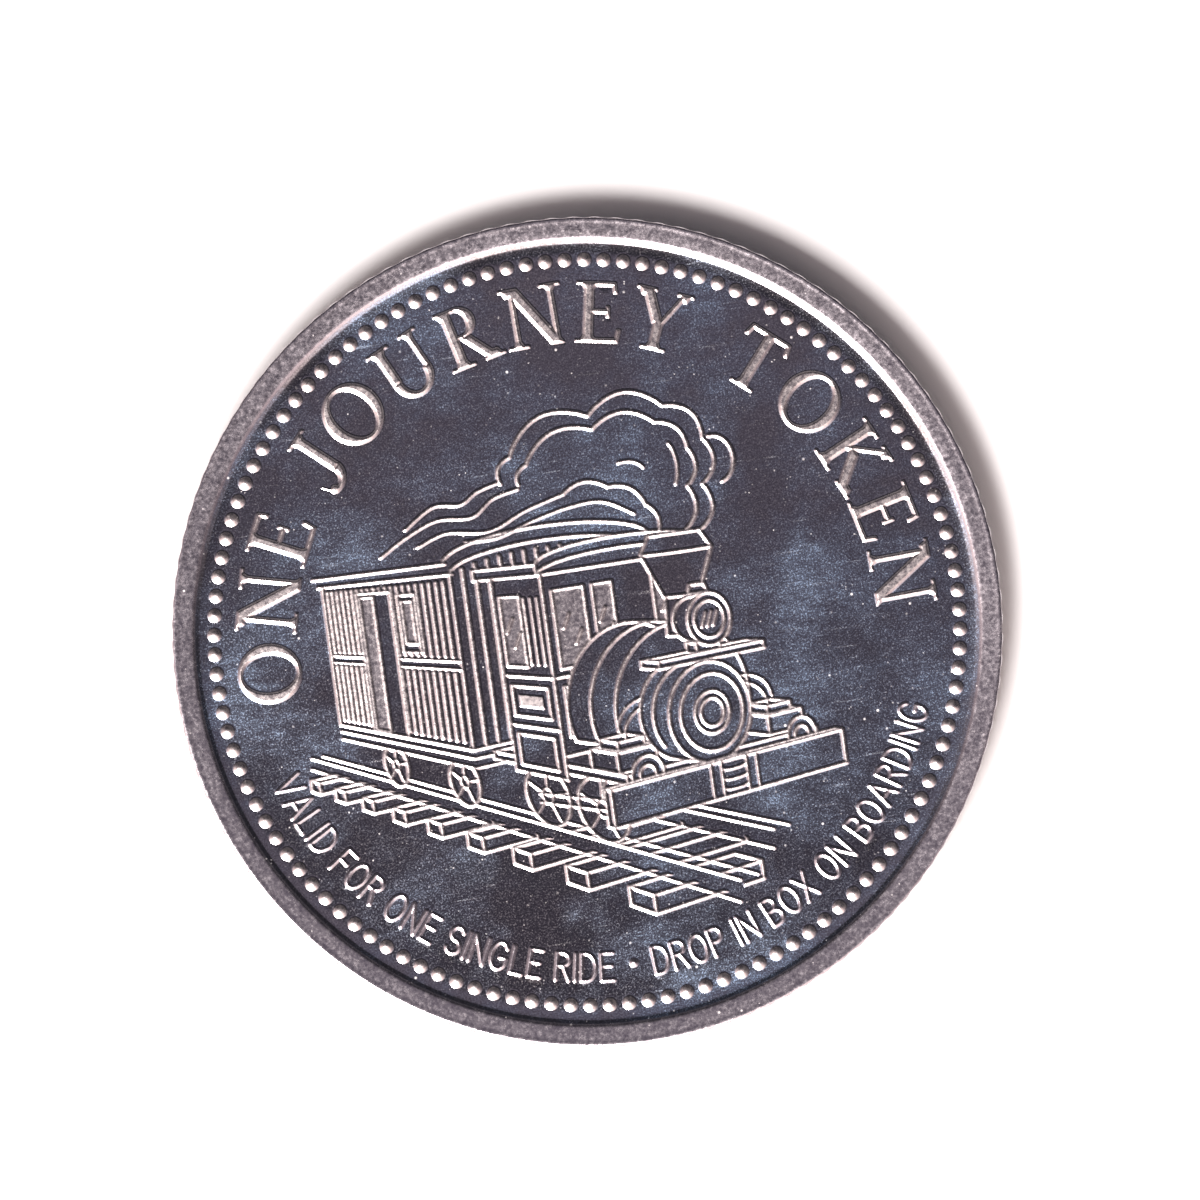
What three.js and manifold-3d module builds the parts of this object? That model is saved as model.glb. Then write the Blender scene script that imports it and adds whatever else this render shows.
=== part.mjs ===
// A struck metal fare token: one round solid with a raised rim, sunk mirror fields, a bead ring,
// a curved legend and a low picture of a steam train on the front, a wheel emblem on the back,
// and coarse reeds round the edge.
// Millimetres. Z = 0 is the plane that the back rim rests on, +Y is the top of the design.
import * as THREE from 'three';
import { mergeVertices } from 'three/addons/utils/BufferGeometryUtils.js';
import Module from 'manifold-3d';

// ---- driving dimensions ----
const TOKEN_DIAMETER = 33;
const TOKEN_THICKNESS = 2.3;
const EDGE_CHAMFER = 0.1;
const FIELD_DEPTH = 0.18;
const RIM_INNER_RADIUS = 15.66;
const RIM_SLOPE_WIDTH = 0.3;
const REED_COUNT = 120;
const REED_DEPTH = 0.1;
const BEAD_COUNT = 120;
const BEAD_RING_RADIUS = 14.78;
const BEAD_DIAMETER = 0.56;
const BEAD_HEIGHT = 0.105;
const LETTER_HEIGHT = 2.45;
const LETTER_BASE_RADIUS = 11.48;
const LETTER_STROKE = 0.4;
const LETTER_RELIEF = 0.075;
const SINK = 0.06;

const TOKEN_RADIUS = TOKEN_DIAMETER / 2;
const FRONT_FIELD_Z = TOKEN_THICKNESS - FIELD_DEPTH;

const wasm = await Module();
wasm.setup();

// ---- solids from closed geometry ----
function solidFrom(geometry) {
  const bare = geometry.index ? geometry.toNonIndexed() : geometry.clone();
  bare.deleteAttribute('normal');
  bare.deleteAttribute('uv');
  const merged = mergeVertices(bare, 1e-5);
  return new wasm.Manifold(new wasm.Mesh({
    numProp: 3,
    vertProperties: Float32Array.from(merged.attributes.position.array),
    triVerts: Uint32Array.from(merged.index.array),
  }));
}

function geometryFrom(solid) {
  const mesh = solid.getMesh();
  const geometry = new THREE.BufferGeometry();
  geometry.setAttribute('position', new THREE.BufferAttribute(mesh.vertProperties, 3));
  geometry.setIndex(new THREE.BufferAttribute(mesh.triVerts, 1));
  geometry.computeVertexNormals();
  return geometry;
}

// A flat pad of the given outline that stands on the front field, sunk a little into it.
function frontPad(outline, height) {
  const points = outline.map(([x, y]) => new THREE.Vector2(x, y));
  if (THREE.ShapeUtils.isClockWise(points)) points.reverse();
  const geometry = new THREE.ExtrudeGeometry(new THREE.Shape(points), {
    depth: height + SINK,
    bevelEnabled: false,
  });
  geometry.translate(0, 0, FRONT_FIELD_Z - SINK);
  return solidFrom(geometry);
}

// The same pad on the back field, which faces down.
function backPad(outline, height) {
  const points = outline.map(([x, y]) => new THREE.Vector2(x, y));
  if (THREE.ShapeUtils.isClockWise(points)) points.reverse();
  const geometry = new THREE.ExtrudeGeometry(new THREE.Shape(points), {
    depth: height + SINK,
    bevelEnabled: false,
  });
  geometry.translate(0, 0, FIELD_DEPTH - height);
  return solidFrom(geometry);
}

function bar([x1, y1], [x2, y2], width) {
  const length = Math.hypot(x2 - x1, y2 - y1);
  const alongX = ((x2 - x1) / length) * width * 0.5;
  const alongY = ((y2 - y1) / length) * width * 0.5;
  return [
    [x1 - alongX - alongY, y1 - alongY + alongX],
    [x1 - alongX + alongY, y1 - alongY - alongX],
    [x2 + alongX + alongY, y2 + alongY - alongX],
    [x2 + alongX - alongY, y2 + alongY + alongX],
  ];
}

// ---- the blank: rim, fields and reeded edge ----
function makeBlank() {
  const rimFoot = RIM_INNER_RADIUS - RIM_SLOPE_WIDTH;
  const profile = [
    [0, FIELD_DEPTH],
    [rimFoot, FIELD_DEPTH],
    [RIM_INNER_RADIUS, 0],
    [TOKEN_RADIUS - EDGE_CHAMFER, 0],
    [TOKEN_RADIUS + REED_DEPTH, EDGE_CHAMFER + REED_DEPTH],
    [TOKEN_RADIUS + REED_DEPTH, TOKEN_THICKNESS - EDGE_CHAMFER - REED_DEPTH],
    [TOKEN_RADIUS - EDGE_CHAMFER, TOKEN_THICKNESS],
    [RIM_INNER_RADIUS, TOKEN_THICKNESS],
    [rimFoot, FRONT_FIELD_Z],
    [0, FRONT_FIELD_Z],
  ].map(([radius, height]) => new THREE.Vector2(radius, height));
  const turned = new THREE.LatheGeometry(profile, REED_COUNT);
  turned.rotateX(Math.PI / 2);

  // One reed is a flat crest, a flank, a flat valley and a flank.
  const outline = [];
  for (let reed = 0; reed < REED_COUNT; reed += 1) {
    const step = (2 * Math.PI) / REED_COUNT;
    const turns = [[0.0, 0], [0.45, 0], [0.62, REED_DEPTH], [0.83, REED_DEPTH]];
    for (const [share, depth] of turns) {
      const angle = (reed + share) * step;
      const radius = TOKEN_RADIUS - depth;
      outline.push(new THREE.Vector2(radius * Math.cos(angle), radius * Math.sin(angle)));
    }
  }
  const collar = new THREE.ExtrudeGeometry(new THREE.Shape(outline), {
    depth: TOKEN_THICKNESS + 1,
    bevelEnabled: false,
  });
  collar.translate(0, 0, -0.5);
  return solidFrom(turned).intersect(solidFrom(collar));
}

// ---- bead rings ----
function beadAt(index, front) {
  const cone = new THREE.ConeGeometry(BEAD_DIAMETER / 2, BEAD_HEIGHT + SINK, 6);
  cone.rotateX(front ? Math.PI / 2 : -Math.PI / 2);
  const angle = ((index + 0.5) / BEAD_COUNT) * 2 * Math.PI;
  const middle = (BEAD_HEIGHT - SINK) / 2;
  const height = front ? FRONT_FIELD_Z + middle : FIELD_DEPTH - middle;
  cone.translate(BEAD_RING_RADIUS * Math.cos(angle), BEAD_RING_RADIUS * Math.sin(angle), height);
  return solidFrom(cone);
}

// ---- the front legend ----
// Letters in units of the letter height: straight and curved strokes from the left foot at (0, 0).
function curve(x, y, radiusX, radiusY, from, to, steps) {
  return Array.from({ length: steps + 1 }, (_, step) => {
    const angle = THREE.MathUtils.degToRad(from + ((to - from) * step) / steps);
    return [x + radiusX * Math.cos(angle), y + radiusY * Math.sin(angle)];
  });
}

const LETTERS = {
  O: { width: 0.86, strokes: [curve(0.43, 0.5, 0.36, 0.42, 0, 360, 10)] },
  N: { width: 0.82, strokes: [[[0.1, 0.1], [0.1, 0.9], [0.72, 0.1], [0.72, 0.9]]] },
  E: { width: 0.62, strokes: [[[0.56, 0.1], [0.1, 0.1], [0.1, 0.9], [0.54, 0.9]],
    [[0.1, 0.5], [0.46, 0.5]]] },
  J: { width: 0.4, strokes: [[[0.3, 0.9], [0.3, 0.2], ...curve(0.1, 0.2, 0.2, 0.2, -30, -110, 2)]] },
  U: { width: 0.82, strokes: [[[0.12, 0.9], ...curve(0.41, 0.36, 0.29, 0.27, 180, 360, 5), [0.7, 0.9]]] },
  R: { width: 0.74, strokes: [[[0.1, 0.1], [0.1, 0.9], ...curve(0.34, 0.7, 0.2, 0.2, 90, -90, 4), [0.1, 0.5]],
    [[0.34, 0.5], [0.66, 0.1]]] },
  Y: { width: 0.76, strokes: [[[0.1, 0.9], [0.38, 0.5], [0.66, 0.9]], [[0.38, 0.5], [0.38, 0.1]]] },
  T: { width: 0.72, strokes: [[[0.1, 0.9], [0.62, 0.9]], [[0.36, 0.9], [0.36, 0.1]]] },
  K: { width: 0.74, strokes: [[[0.1, 0.1], [0.1, 0.9]], [[0.64, 0.9], [0.14, 0.46]],
    [[0.28, 0.58], [0.66, 0.1]]] },
};
const LEGEND = 'ONE JOURNEY TOKEN';
const LEGEND_START = -96;
const LEGEND_END = 93;
const WORD_GAP = 0.62;
const LETTER_GAP = 0.17;

function makeLegend() {
  const advance = (letter) => (letter === ' ' ? WORD_GAP : LETTERS[letter].width + LETTER_GAP);
  const total = [...LEGEND].reduce((sum, letter) => sum + advance(letter), 0);
  const pads = [];
  let travelled = 0;
  for (const letter of LEGEND) {
    const middle = travelled + advance(letter) / 2;
    travelled += advance(letter);
    if (letter === ' ') continue;
    const degrees = LEGEND_START + ((LEGEND_END - LEGEND_START) * middle) / total;
    const angle = THREE.MathUtils.degToRad(degrees);
    const place = ([x, y]) => {
      const sideways = (x - LETTERS[letter].width / 2) * LETTER_HEIGHT;
      const outward = LETTER_BASE_RADIUS + y * LETTER_HEIGHT;
      return [
        sideways * Math.cos(angle) + outward * Math.sin(angle),
        outward * Math.cos(angle) - sideways * Math.sin(angle),
      ];
    };
    for (const stroke of LETTERS[letter].strokes) {
      for (let index = 1; index < stroke.length; index += 1) {
        const outline = bar(place(stroke[index - 1]), place(stroke[index]), LETTER_STROKE);
        pads.push(frontPad(outline, LETTER_RELIEF));
      }
    }
  }
  return pads;
}

// ---- the picture: a small steam train seen from its front corner ----
// The train is laid out in metres: back along it, across it, and up from the rail tops.
const PICTURE_DISTANCE = 48.5;
const HORIZON_Y = 3.8;
const EYE_HEIGHT = 2.24;
const TRAIN_NEARNESS = 8.12;
const TRAIN_TURN = THREE.MathUtils.degToRad(30);

function project([back, across, up]) {
  const right = across * Math.cos(TRAIN_TURN) - back * Math.sin(TRAIN_TURN);
  const depth = TRAIN_NEARNESS + across * Math.sin(TRAIN_TURN) + back * Math.cos(TRAIN_TURN);
  return [(PICTURE_DISTANCE * right) / depth, HORIZON_Y + (PICTURE_DISTANCE * (up - EYE_HEIGHT)) / depth];
}

// A wall along the train, a wall across it, a level deck, and round faces along or across it.
const sideWall = (across, back1, back2, up1, up2) => [
  [back1, across, up1], [back2, across, up1], [back2, across, up2], [back1, across, up2]].map(project);
const frontWall = (back, across1, across2, up1, up2) => [
  [back, across1, up1], [back, across2, up1], [back, across2, up2], [back, across1, up2]].map(project);
const deck = (up, back1, back2, across1, across2) => [
  [back1, across1, up], [back2, across1, up], [back2, across2, up], [back1, across2, up]].map(project);
const loop = (x, y, radiusX, radiusY, sides) => curve(x, y, radiusX, radiusY, 0, 360, sides).slice(0, sides);
const wheelFace = (back, across, radius, sides) => loop(back, radius, radius * WHEEL_STRETCH, radius, sides)
  .map(([along, height]) => project([along, across, height]));
const roundFront = (back, across, up, radius, sides) => loop(across, up, radius, radius, sides)
  .map(([sideways, height]) => project([back, sideways, height]));

// The picture is built from overlapping flat pads. Nearer parts stand on higher tiers.
const TIER_HEIGHT = 0.018;
// Wheels are drawn rounder than their true perspective, so that they read at this size.
const WHEEL_STRETCH = 1.5;
const RAIL_WIDTH = 0.3;
const ROOF_EDGE_WIDTH = 0.3;
const picturePad = (outline, tier) => frontPad(outline, tier * TIER_HEIGHT);

function makeTrack() {
  const pads = [];
  const nearRail = 0.42;
  const farRail = 1.3;
  const sleeperPitch = 0.85;
  for (let sleeper = 0; sleeper < 9; sleeper += 1) {
    const back = -0.35 + sleeper * sleeperPitch;
    const reaches = [0.9, 1.42, 1.42];
    pads.push(picturePad(deck(-0.12, back, back + 0.3, 0.02, reaches[sleeper] ?? nearRail + 0.1), 1.5));
  }
  pads.push(picturePad(bar(project([-0.85, nearRail, 0]), project([7.7, nearRail, 0]), RAIL_WIDTH), 2.5));
  pads.push(picturePad(bar(project([-0.1, farRail, 0]), project([1.4, farRail, 0]), RAIL_WIDTH), 2.5));
  return pads;
}

function makeCarriage() {
  const front = 2.2;
  const back = 5.5;
  const floor = 0.62;
  const eave = 2.08;
  const near = 0.05;
  const far = 1.95;
  const roofUp = eave + 0.05;
  const crown = curve((near + far) / 2, eave, (far - near) / 2, 0.18, 0, 180, 8)
    .map(([across, up]) => project([front, across, up]));
  return [
    picturePad(wheelFace(4.7, 0.3, 0.21, 12), 2),
    picturePad(wheelFace(3.05, 0.3, 0.21, 12), 2),
    picturePad([project([front, near, floor]), project([front, far, floor]), ...crown], 2),
    picturePad(sideWall(near, front, back, floor - 0.16, eave), 3),
    picturePad(sideWall(near, 3.6, 4.5, floor, 1.98), 4),
    picturePad(sideWall(near, 3.02, 3.42, 1.42, 1.94), 4),
    picturePad(bar(project([front, 0, roofUp]), project([back + 0.12, 0, roofUp]), ROOF_EDGE_WIDTH), 4),
  ];
}

function makeEngine() {
  const middle = 1;
  const cabFront = 1.15;
  const cabBack = 2;
  const cabTop = 2;
  const near = 0.32;
  const far = 1.68;
  const boilerUp = 0.87;
  const lampUp = 1.54;
  const stack = 0.3;
  const roofUp = cabTop + 0.04;
  // The chimney, from its foot up: heights and half widths of a pipe and its flared head.
  const chimney = [[1.2, 0.14], [1.72, 0.13], [2.04, 0.26], [2.17, 0.19]];
  const chimneySide = (side) => chimney.map(([up, half]) => project([stack, middle + side * half, up]));
  return [
    picturePad(wheelFace(1.6, 0.36, 0.24, 12), 2),
    picturePad(wheelFace(0.75, 0.36, 0.24, 12), 2),
    picturePad(deck(0.6, 0.02, 2.05, 0.16, 1.84), 3),
    picturePad(sideWall(0.16, 0.02, 2.05, 0.54, 0.6), 3),
    picturePad(sideWall(near, cabFront, cabBack, 0.42, cabTop), 4),
    picturePad(frontWall(cabFront, near, far, 0.6, cabTop), 4),
    picturePad(bar(project([cabFront, near - 0.1, roofUp]), project([cabBack, near - 0.1, roofUp]),
      ROOF_EDGE_WIDTH), 5),
    picturePad(bar(project([cabFront, near - 0.1, roofUp]), project([cabFront, far + 0.1, roofUp]),
      ROOF_EDGE_WIDTH), 5),
    picturePad(roundFront(0.8, middle, 0.92, 0.6, 18), 5),
    picturePad([...chimneySide(-1), ...chimneySide(1).reverse()], 5),
    picturePad(roundFront(0.14, middle, boilerUp, 0.36, 20), 6),
    picturePad(roundFront(0.12, middle, boilerUp, 0.15, 12), 7),
    picturePad(deck(1.3, 0.02, 0.24, middle - 0.46, middle + 0.46), 6),
    picturePad(roundFront(0, middle, lampUp, 0.185, 14), 6),
    picturePad(roundFront(0, near, 0.58, 0.13, 10), 4),
    picturePad(roundFront(0, far, 0.58, 0.13, 10), 4),
    picturePad(frontWall(-0.05, -0.02, 2.02, 0.3, 0.55), 6),
  ];
}

// A row of round puffs that grow and drift back from the chimney.
function makeSmoke() {
  const puffs = [[4.9, 4.2, 0.6], [5.1, 5.4, 0.85], [4.8, 6.9, 1.1], [2.8, 7.6, 1.25], [0.3, 7.5, 1.3],
    [-1.9, 6.7, 0.95], [-3.6, 5.9, 0.6], [-5.1, 5.4, 0.4]];
  return puffs.map(([x, y, radius]) => picturePad(loop(x, y, radius, radius, 14), 2));
}

// ---- the back: a spoked wheel emblem inside a ring ----
const WHEEL_RADIUS = 7.6;
const WHEEL_RIM_WIDTH = 1.1;
const HUB_RADIUS = 1.9;
const SPOKE_COUNT = 8;
const SPOKE_WIDTH = 0.55;
const WHEEL_RELIEF = 0.11;

function makeBackEmblem() {
  const pads = [];
  const ringSteps = 48;
  const disc = (radius) => loop(0, 0, radius, radius, ringSteps);
  const ring = backPad(disc(WHEEL_RADIUS), WHEEL_RELIEF)
    .subtract(backPad(disc(WHEEL_RADIUS - WHEEL_RIM_WIDTH), WHEEL_RELIEF * 2).translate([0, 0, SINK * 0.5]));
  pads.push(ring);
  pads.push(backPad(disc(HUB_RADIUS), WHEEL_RELIEF * 1.2));
  for (let spoke = 0; spoke < SPOKE_COUNT; spoke += 1) {
    const angle = ((spoke + 0.5) / SPOKE_COUNT) * 2 * Math.PI;
    const inner = [HUB_RADIUS * 0.7 * Math.cos(angle), HUB_RADIUS * 0.7 * Math.sin(angle)];
    const reach = WHEEL_RADIUS - WHEEL_RIM_WIDTH * 0.6;
    pads.push(backPad(bar(inner, [reach * Math.cos(angle), reach * Math.sin(angle)], SPOKE_WIDTH),
      WHEEL_RELIEF * 0.85));
  }
  return pads;
}

// ---- join everything into the one struck solid ----
let token = makeBlank();
for (let index = 0; index < BEAD_COUNT; index += 1) {
  token = token.add(beadAt(index, true)).add(beadAt(index, false));
}
const picture = [...makeTrack(), ...makeCarriage(), ...makeEngine(), ...makeSmoke()];
for (const pad of [...makeLegend(), ...picture, ...makeBackEmblem()]) token = token.add(pad);

const nickel = new THREE.MeshStandardMaterial({ color: 0xb9b4ae, roughness: 0.22, metalness: 1 });
const struckToken = new THREE.Mesh(geometryFrom(token), nickel);
struckToken.name = 'struck_token';

const group = new THREE.Group();
group.add(struckToken);

export default group;
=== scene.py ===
"""A struck nickel fare token: mirror fields, frosted relief, a satin rim and a reeded edge.

Each face of the token is drawn like a die: shapes are painted into a fine height map in
millimetres, the height maps are sampled onto one closed mesh, and a frost value on each
point tells the metal where it is polished and where it is satin.
"""
import math

import bpy
import numpy as np
from mathutils import Matrix, Vector


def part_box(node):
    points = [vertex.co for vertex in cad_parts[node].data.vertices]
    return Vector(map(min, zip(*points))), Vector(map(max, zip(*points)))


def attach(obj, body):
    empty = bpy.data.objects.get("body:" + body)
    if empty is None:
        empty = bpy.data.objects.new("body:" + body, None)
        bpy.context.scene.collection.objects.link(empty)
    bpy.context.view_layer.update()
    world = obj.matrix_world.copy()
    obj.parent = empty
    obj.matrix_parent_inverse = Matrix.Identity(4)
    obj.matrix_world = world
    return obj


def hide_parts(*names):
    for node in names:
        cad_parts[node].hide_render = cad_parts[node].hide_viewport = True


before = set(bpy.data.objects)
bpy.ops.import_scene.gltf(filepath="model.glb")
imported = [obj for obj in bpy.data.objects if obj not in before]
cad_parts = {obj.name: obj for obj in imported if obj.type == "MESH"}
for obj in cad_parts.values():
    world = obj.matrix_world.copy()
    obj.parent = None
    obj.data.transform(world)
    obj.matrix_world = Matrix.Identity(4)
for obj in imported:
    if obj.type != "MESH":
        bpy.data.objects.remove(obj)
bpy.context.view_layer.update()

# ---- sizes in millimetres ----
MM = 0.001
BOX_LOW, BOX_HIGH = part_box("struck_token")
TOKEN_RADIUS = (BOX_HIGH[0] - BOX_LOW[0]) / 2 / MM
THICKNESS = (BOX_HIGH[2] - BOX_LOW[2]) / MM
FIELD_DEPTH = 0.18
RIM_OUTER = TOKEN_RADIUS - 0.08
RIM_CREST = 16.45
RIM_INNER = 15.64
RIM_WALL = 0.22
RIM_FOOT = 15.0
HOLLOW_RISE = 0.055
RIM_DISH = 0.05
LIP_START = 16.22
LIP_WIDTH = 0.1
LIP_HEIGHT = 0.011
REED_COUNT = 120
REED_DEPTH = 0.1
BEAD_COUNT = 120
BEAD_RING = 14.8
BEAD_RADIUS = 0.28
BEAD_HEIGHT = 0.09
LINE_WIDTH = 0.195
LINE_HEIGHT = 0.042
THIN_LINE = 0.165
PANE_RELIEF = 0.018
# The edge from the rim down to full reeding: inset, drop below the rim, share of the reeds' depth.
EDGE_PROFILE = ((0.06, 0.009, 0.0), (0.036, 0.027, 0.15), (0.016, 0.06, 0.5), (0.005, 0.11, 0.85),
                (0.0, 0.18, 1.0))

# Frost: 0 is mirror-polished, 0.8 is satin, and above 0.84 the satin grows coarser.
EDGE_FROST = 0.75
RIM_FROST = 0.8
PANE_FROST = 0.83
LINE_FROST = 0.9
BEAD_FROST = 0.93

# Mesh and height-map resolution.
MAP_STEP = 0.02
GRID = 960
LEAVES = (1, 2, 4, 8, 16)
EDGE_LEAF = 2
FLAT_TOLERANCE = 0.0007
FROST_TOLERANCE = 0.03


def arc(x, y, radius_x, radius_y, start, end, steps=12):
    """Points of an ellipse's arc, with angles in degrees."""
    turn = np.radians(np.linspace(start, end, steps + 1))
    return [(x + radius_x * math.cos(t), y + radius_y * math.sin(t)) for t in turn]


def corners_of(first, second):
    """The four corners of a rectangle, from its extents on two axes."""
    return [(first[0], second[0]), (first[1], second[0]), (first[1], second[1]), (first[0], second[1])]


# ---- one die: a height map and a frost map ----
class Die:
    def __init__(self):
        count = int(round(2 * (TOKEN_RADIUS + 0.5) / MAP_STEP)) + 1
        self.low = -(count - 1) / 2 * MAP_STEP
        self.axis = self.low + MAP_STEP * np.arange(count)
        self.height = np.zeros((count, count), np.float32)
        self.frost = np.zeros((count, count), np.float32)

    def window(self, points, margin):
        """The slice of the maps round some points, with its x and y values."""
        points = np.asarray(points, float).reshape(-1, 2)
        first = np.floor((points.min(0) - margin - self.low) / MAP_STEP).astype(int)
        last = np.ceil((points.max(0) + margin - self.low) / MAP_STEP).astype(int) + 1
        first = np.clip(first, 0, len(self.axis) - 2)
        last = np.clip(last, first + 1, len(self.axis))
        rows, columns = slice(first[1], last[1]), slice(first[0], last[0])
        return (rows, columns), self.axis[columns][None, :], self.axis[rows][:, None]

    def raise_to(self, area, height, frost=None):
        """Keeps the higher of the map and the new height, and takes the new frost there."""
        here = self.height[area]
        if frost is not None:
            higher = height > np.maximum(here, 0) + 1e-5
            self.frost[area] = np.where(higher, frost, self.frost[area])
        self.height[area] = np.maximum(here, height)

    def ridge(self, points, width=LINE_WIDTH, height=LINE_HEIGHT, frost=LINE_FROST, closed=False):
        """A round-topped line."""
        points = [tuple(p) for p in points]
        if closed:
            points = points + points[:1]
        for start, end in zip(points, points[1:]):
            area, x, y = self.window([start, end], width)
            gap = segment_gap(x, y, start, end) / (width / 2)
            self.raise_to(area, height * (1 - gap * gap), frost)

    def clear(self, points, level=0.0, frost=0.0):
        """Flattens what lies behind a face of the picture."""
        area, x, y = self.window(points, MAP_STEP)
        inside = polygon_inside(x, y, points)
        self.height[area] = np.where(inside, level, self.height[area])
        self.frost[area] = np.where(inside, frost, self.frost[area])

    def pad(self, depth, area, height, wall, frost=1.0):
        """A flat-topped shape from its inside distance, with walls that slope over wall."""
        self.raise_to(area, height * np.clip(depth / wall, 0, 1), frost)

    def soften(self, sigma):
        """Rounds every corner slightly, as worn polished dies do."""
        reach = int(3 * sigma) + 1
        offsets = np.arange(-reach, reach + 1)
        weights = np.exp(-0.5 * (offsets / sigma) ** 2)
        weights /= weights.sum()
        for name in ("height", "frost"):
            values = getattr(self, name)
            for axis in (0, 1):
                padded = np.pad(values, [(reach, reach) if a == axis else (0, 0) for a in (0, 1)], "edge")
                length = values.shape[axis]
                values = sum(w * np.take(padded, range(k, k + length), axis) for k, w in enumerate(weights))
            setattr(self, name, values.astype(np.float32))

    def sample(self, x, y):
        """Height and frost at any points, from the four map points round each."""
        column = (x - self.low) / MAP_STEP
        row = (y - self.low) / MAP_STEP
        c, r = np.floor(column).astype(int), np.floor(row).astype(int)
        fc, fr = column - c, row - r
        results = []
        for values in (self.height, self.frost):
            lower = values[r, c] * (1 - fc) + values[r, c + 1] * fc
            upper = values[r + 1, c] * (1 - fc) + values[r + 1, c + 1] * fc
            results.append(lower * (1 - fr) + upper * fr)
        return results


def segment_gap(x, y, start, end):
    """Distance from each point to a segment."""
    (x1, y1), (x2, y2) = start, end
    dx, dy = x2 - x1, y2 - y1
    along = np.clip(((x - x1) * dx + (y - y1) * dy) / (dx * dx + dy * dy + 1e-12), 0, 1)
    return np.hypot(x - x1 - along * dx, y - y1 - along * dy)


def polygon_inside(x, y, points):
    inside = np.zeros(np.broadcast(x, y).shape, bool)
    for (x1, y1), (x2, y2) in zip(points, list(points[1:]) + [points[0]]):
        if y1 == y2:
            continue
        crosses = (y1 > y) != (y2 > y)
        inside ^= crosses & (x < (x2 - x1) * (y - y1) / (y2 - y1) + x1)
    return inside


def convex_depth(x, y, points):
    """Distance inside a convex polygon, negative outside it."""
    area = sum(a[0] * b[1] - b[0] * a[1] for a, b in zip(points, points[1:] + points[:1]))
    turn = 1 if area > 0 else -1
    depth = np.full(np.broadcast(x, y).shape, 1e9)
    for (x1, y1), (x2, y2) in zip(points, points[1:] + points[:1]):
        length = math.hypot(x2 - x1, y2 - y1)
        across = turn * ((x2 - x1) * (y - y1) - (y2 - y1) * (x - x1)) / length
        depth = np.minimum(depth, across)
    return depth


def ellipse_depth(x, y, radius_x, radius_y):
    """Distance inside an ellipse about the origin, close to exact near its outline."""
    share = np.sqrt((x / radius_x) ** 2 + (y / radius_y) ** 2) + 1e-9
    slope = np.sqrt((x / radius_x**2) ** 2 + (y / radius_y**2) ** 2) + 1e-9
    return -share * (share - 1) / slope


# ---- serif capitals for the large legend ----
# Each shape is a function of x and y that returns the depth inside it, in units of the letter height.
STEM = 0.17
HAIR = 0.085
SERIF = 0.06
OVERHANG = 0.125


def polygon(*corners):
    return lambda x, y: convex_depth(x, y, list(corners))


def box(x1, y1, x2, y2):
    return polygon(*corners_of((x1, x2), (y1, y2)))


def slant(foot, head, width, low=0.0, high=1.0):
    """A sloping stroke with level ends: foot and head are the x of its middle there."""
    half = width / 2
    return polygon((foot - half, low), (foot + half, low), (head + half, high), (head - half, high))


def stem(middle, width=STEM, low=0.0, high=1.0):
    return slant(middle, middle, width, low, high)


def serif(middle, width=STEM, base=0.0, reach=OVERHANG):
    """A thin serif with sloped shoulders, at the foot, or at the top when base is 1."""
    half = width / 2
    slab = box(middle - half - reach, 0, middle + half + reach, SERIF)
    shoulder = polygon((middle - half - 0.07, 0), (middle + half + 0.07, 0),
                       (middle + half - 0.01, 0.15), (middle - half + 0.01, 0.15))

    def depth(x, y):
        up = y - base if base < 0.5 else base - y
        return np.maximum(slab(x, up), shoulder(x, up))
    return depth


def bowl(middle_x, middle_y, radius_x, radius_y, side, crown, cut=None):
    """A round stroke: side is its thickness at left and right, crown at top and bottom."""
    def depth(x, y):
        u, v = x - middle_x, y - middle_y
        outer = ellipse_depth(u, v, radius_x, radius_y)
        inner = -ellipse_depth(u, v, radius_x - side, radius_y - crown)
        ring = np.minimum(outer, inner)
        return ring if cut is None else np.minimum(ring, cut(x, y))
    return depth


def hook_end(x, y):
    """What the hook of the J keeps: below its stem, and right of a leaning end."""
    return np.minimum(0.2 - y, x + 0.06 + (y + 0.1) * 0.3)


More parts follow.
